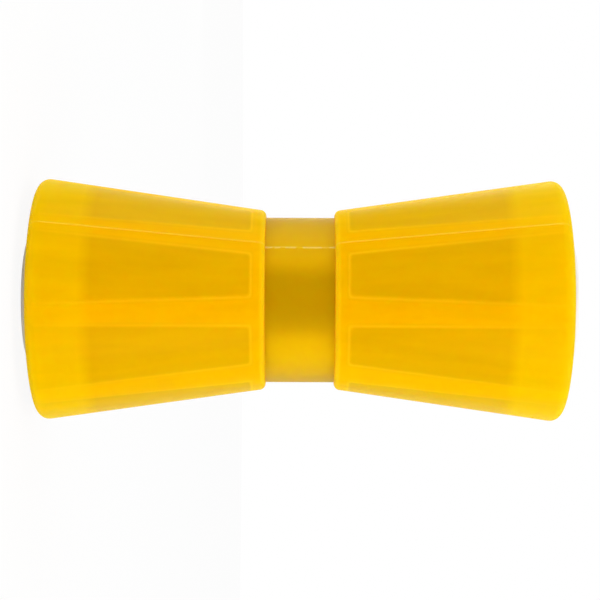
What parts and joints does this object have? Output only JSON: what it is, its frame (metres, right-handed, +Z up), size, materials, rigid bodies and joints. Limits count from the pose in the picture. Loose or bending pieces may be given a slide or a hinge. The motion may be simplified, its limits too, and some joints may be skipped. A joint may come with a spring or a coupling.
{
  "type": "boat trailer roller",
  "caption": "Hourglass keel roller of translucent amber rubber: hollow ribbed cones, a stepped waist and a flanged bushing in each end for the shaft.",
  "frame": {"origin": "middle of the face of the lower bushing's flange, on which the roller stands", "axes": "+Z up along the shaft's axis; +X and -X run through the mould's parting line and two ribs"},
  "size_m": [0.0904, 0.09, 0.2032],
  "materials": {
    "amber_rubber": "gloss",
    "white_nylon": "satin"
  },
  "bodies": {
    "root": {"roller_body": "amber_rubber", "bottom_bushing": "white_nylon", "top_bushing": "white_nylon"}
  },
  "joints": []
}
